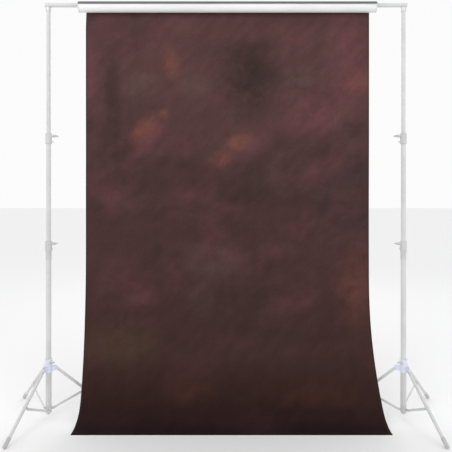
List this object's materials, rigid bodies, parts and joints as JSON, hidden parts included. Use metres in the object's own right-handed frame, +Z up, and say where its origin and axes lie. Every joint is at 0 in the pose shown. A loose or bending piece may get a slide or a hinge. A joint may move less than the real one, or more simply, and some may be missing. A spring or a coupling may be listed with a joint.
{
  "type": "roll backdrop on folding stands",
  "caption": "Mottled backdrop cloth on a roll core, hung from a sectional crossbar between two telescopic folding tripod stands.",
  "frame": {"origin": "middle of the base's bounding box, at floor level under the feet", "axes": "+X along the crossbar, +Z up, -Y the side that the cloth faces"},
  "size_m": [2.3908, 0.5742, 2.2394],
  "materials": {
    "white_enamel": "white enamel on steel tube",
    "collar_plastic": "pale lavender moulded nylon",
    "knob_plastic": "pale grey moulded knob",
    "clamp_plastic": "pale grey moulded nylon",
    "nylon": "natural nylon bush",
    "foot_rubber": "pale grey rubber",
    "zinc_steel": "zinc plated steel",
    "core_tube": "smooth white tube",
    "cap_plastic": "moulded end cap",
    "strip": "dark grey retaining strip",
    "cloth": "woven cloth with a mottled brown and maroon print"
  },
  "bodies": {
    "mid_section_left": {"mid_tube_left": "white_enamel", "upper_clamp_left": "clamp_plastic", "upper_bush_left": "nylon"},
    "collar_left": {"leg_collar_left": "collar_plastic", "leg_sleeve_left": "white_enamel", "leg_pins_left": "zinc_steel"},
    "lower_knob_left": {"lower_knob_left": "knob_plastic"},
    "upper_knob_left": {"upper_knob_left": "knob_plastic"},
    "collar_knob_left": {"collar_knob_left": "knob_plastic"},
    "leg_front_left": {"leg_front_left": "white_enamel", "foot_front_left": "foot_rubber"},
    "brace_front_left": {"brace_front_left": "white_enamel"},
    "leg_rear_left": {"leg_rear_left": "white_enamel", "foot_rear_left": "foot_rubber"},
    "brace_rear_left": {"brace_rear_left": "white_enamel"},
    "leg_inner_left": {"leg_inner_left": "white_enamel", "foot_inner_left": "foot_rubber"},
    "brace_inner_left": {"brace_inner_left": "white_enamel"},
    "mid_section_right": {"mid_tube_right": "white_enamel", "upper_clamp_right": "clamp_plastic", "upper_bush_right": "nylon"},
    "collar_right": {"leg_collar_right": "collar_plastic", "leg_sleeve_right": "white_enamel", "leg_pins_right": "zinc_steel"},
    "lower_knob_right": {"lower_knob_right": "knob_plastic"},
    "upper_knob_right": {"upper_knob_right": "knob_plastic"},
    "collar_knob_right": {"collar_knob_right": "knob_plastic"},
    "leg_front_right": {"leg_front_right": "white_enamel", "foot_front_right": "foot_rubber"},
    "brace_front_right": {"brace_front_right": "white_enamel"},
    "leg_rear_right": {"leg_rear_right": "white_enamel", "foot_rear_right": "foot_rubber"},
    "brace_rear_right": {"brace_rear_right": "white_enamel"},
    "leg_inner_right": {"leg_inner_right": "white_enamel", "foot_inner_right": "foot_rubber"},
    "brace_inner_right": {"brace_inner_right": "white_enamel"},
    "columns": {"bottom_tube_left": "white_enamel", "lower_clamp_left": "clamp_plastic", "lower_bush_left": "nylon", "brace_hub_left": "clamp_plastic", "brace_pins_left": "zinc_steel", "bottom_tube_right": "white_enamel", "lower_clamp_right": "clamp_plastic", "lower_bush_right": "nylon", "brace_hub_right": "clamp_plastic", "brace_pins_right": "zinc_steel"},
    "top_frame": {"top_tube_left": "white_enamel", "stud_left": "zinc_steel", "top_tube_right": "white_enamel", "stud_right": "zinc_steel", "crossbar_left": "white_enamel", "crossbar_middle": "white_enamel", "crossbar_right": "white_enamel", "crossbar_ferrule_left": "zinc_steel", "crossbar_ferrule_right": "zinc_steel", "backdrop_cloth": "cloth"},
    "roll": {"roll_core": "core_tube", "end_cap_left": "cap_plastic", "end_cap_right": "cap_plastic", "retaining_strip": "strip"}
  },
  "joints": [
    {"name": "mid_slide_left", "type": "slide", "parent": "columns", "child": "mid_section_left", "axis": [0, 0, -1], "range_m": [0, 0.51]},
    {"name": "mid_slide_right", "type": "slide", "parent": "columns", "child": "mid_section_right", "axis": [0, 0, -1], "range_m": [0, 0.51]},
    {"name": "top_slide", "type": "slide", "parent": "mid_section_left", "child": "top_frame", "axis": [0, 0, -1], "range_m": [0, 0.62], "deforming": ["backdrop_cloth"]},
    {"name": "roll_turn", "type": "hinge", "parent": "top_frame", "child": "roll", "pos_m": [0, 0.03989, 2.2085], "axis": [1, 0, 0], "range_deg": [0, 2203]},
    {"name": "lower_knob_turn_left", "type": "hinge", "parent": "columns", "child": "lower_knob_left", "pos_m": [-0.9213, 0.03989, 0.935], "axis": [1, 0, 0], "range_deg": [0, 360]},
    {"name": "upper_knob_turn_left", "type": "hinge", "parent": "mid_section_left", "child": "upper_knob_left", "pos_m": [-0.9213, 0.03989, 1.515], "axis": [1, 0, 0], "range_deg": [0, 360]},
    {"name": "collar_knob_turn_left", "type": "hinge", "parent": "collar_left", "child": "collar_knob_left", "pos_m": [-0.93546, 0.01831, 0.302], "axis": [0.6947, -0.7193, 0], "range_deg": [0, 360]},
    {"name": "collar_slide_left", "type": "slide", "parent": "columns", "child": "collar_left", "axis": [0, 0, 1], "range_m": [0, 0.14908]},
    {"name": "leg_fold_front_left", "type": "hinge", "parent": "collar_left", "child": "leg_front_left", "pos_m": [-0.9676, 0.00048, 0.2636], "axis": [0.9613, -0.2756, 0], "range_deg": [0, 48.6]},
    {"name": "brace_fold_front_left", "type": "hinge", "parent": "columns", "child": "brace_front_left", "pos_m": [-0.96319, 0.01586, 0.045], "axis": [-0.9613, 0.2756, 0], "range_deg": [0, 63.75]},
    {"name": "leg_fold_rear_left", "type": "hinge", "parent": "collar_left", "child": "leg_rear_left", "pos_m": [-0.98478, 0.06939, 0.2636], "axis": [-0.7193, -0.6947, 0], "range_deg": [0, 48.6]},
    {"name": "brace_fold_rear_left", "type": "hinge", "parent": "columns", "child": "brace_rear_left", "pos_m": [-0.97367, 0.05788, 0.045], "axis": [0.7193, 0.6947, 0], "range_deg": [0, 63.75]},
    {"name": "leg_fold_inner_left", "type": "hinge", "parent": "collar_left", "child": "leg_inner_left", "pos_m": [-0.91652, 0.04981, 0.2636], "axis": [-0.2419, 0.9703, 0], "range_deg": [0, 48.6]},
    {"name": "brace_fold_inner_left", "type": "hinge", "parent": "columns", "child": "brace_inner_left", "pos_m": [-0.93204, 0.04594, 0.045], "axis": [0.2419, -0.9703, 0], "range_deg": [0, 63.75]},
    {"name": "lower_knob_turn_right", "type": "hinge", "parent": "columns", "child": "lower_knob_right", "pos_m": [0.9213, 0.03989, 0.935], "axis": [-1, 0, 0], "range_deg": [0, 360]},
    {"name": "upper_knob_turn_right", "type": "hinge", "parent": "mid_section_right", "child": "upper_knob_right", "pos_m": [0.9213, 0.03989, 1.515], "axis": [-1, 0, 0], "range_deg": [0, 360]},
    {"name": "collar_knob_turn_right", "type": "hinge", "parent": "collar_right", "child": "collar_knob_right", "pos_m": [0.93546, 0.01831, 0.302], "axis": [-0.6947, -0.7193, 0], "range_deg": [0, 360]},
    {"name": "collar_slide_right", "type": "slide", "parent": "columns", "child": "collar_right", "axis": [0, 0, 1], "range_m": [0, 0.14908]},
    {"name": "leg_fold_front_right", "type": "hinge", "parent": "collar_right", "child": "leg_front_right", "pos_m": [0.9676, 0.00048, 0.2636], "axis": [0.9613, 0.2756, 0], "range_deg": [0, 48.6]},
    {"name": "brace_fold_front_right", "type": "hinge", "parent": "columns", "child": "brace_front_right", "pos_m": [0.96319, 0.01586, 0.045], "axis": [-0.9613, -0.2756, 0], "range_deg": [0, 63.75]},
    {"name": "leg_fold_rear_right", "type": "hinge", "parent": "collar_right", "child": "leg_rear_right", "pos_m": [0.98478, 0.06939, 0.2636], "axis": [-0.7193, 0.6947, 0], "range_deg": [0, 48.6]},
    {"name": "brace_fold_rear_right", "type": "hinge", "parent": "columns", "child": "brace_rear_right", "pos_m": [0.97367, 0.05788, 0.045], "axis": [0.7193, -0.6947, 0], "range_deg": [0, 63.75]},
    {"name": "leg_fold_inner_right", "type": "hinge", "parent": "collar_right", "child": "leg_inner_right", "pos_m": [0.91652, 0.04981, 0.2636], "axis": [-0.2419, -0.9703, 0], "range_deg": [0, 48.6]},
    {"name": "brace_fold_inner_right", "type": "hinge", "parent": "columns", "child": "brace_inner_right", "pos_m": [0.93204, 0.04594, 0.045], "axis": [0.2419, 0.9703, 0], "range_deg": [0, 63.75]}
  ],
  "couplings": [
    {"joint": "mid_slide_right", "follows": "mid_slide_left", "ratio": 1},
    {"joint": "top_slide", "follows": "mid_slide_left", "ratio": 1.2157},
    {"joint": "roll_turn", "follows": "mid_slide_left", "rad_per_m": 75.364},
    {"joint": "leg_fold_front_left", "follows": "collar_slide_left", "rad_per_m": 5.6896},
    {"joint": "brace_fold_front_left", "follows": "collar_slide_left", "rad_per_m": 7.4629},
    {"joint": "leg_fold_rear_left", "follows": "collar_slide_left", "rad_per_m": 5.6896},
    {"joint": "brace_fold_rear_left", "follows": "collar_slide_left", "rad_per_m": 7.4629},
    {"joint": "leg_fold_inner_left", "follows": "collar_slide_left", "rad_per_m": 5.6896},
    {"joint": "brace_fold_inner_left", "follows": "collar_slide_left", "rad_per_m": 7.4629},
    {"joint": "leg_fold_front_right", "follows": "collar_slide_right", "rad_per_m": 5.6896},
    {"joint": "brace_fold_front_right", "follows": "collar_slide_right", "rad_per_m": 7.4629},
    {"joint": "leg_fold_rear_right", "follows": "collar_slide_right", "rad_per_m": 5.6896},
    {"joint": "brace_fold_rear_right", "follows": "collar_slide_right", "rad_per_m": 7.4629},
    {"joint": "leg_fold_inner_right", "follows": "collar_slide_right", "rad_per_m": 5.6896},
    {"joint": "brace_fold_inner_right", "follows": "collar_slide_right", "rad_per_m": 7.4629}
  ]
}
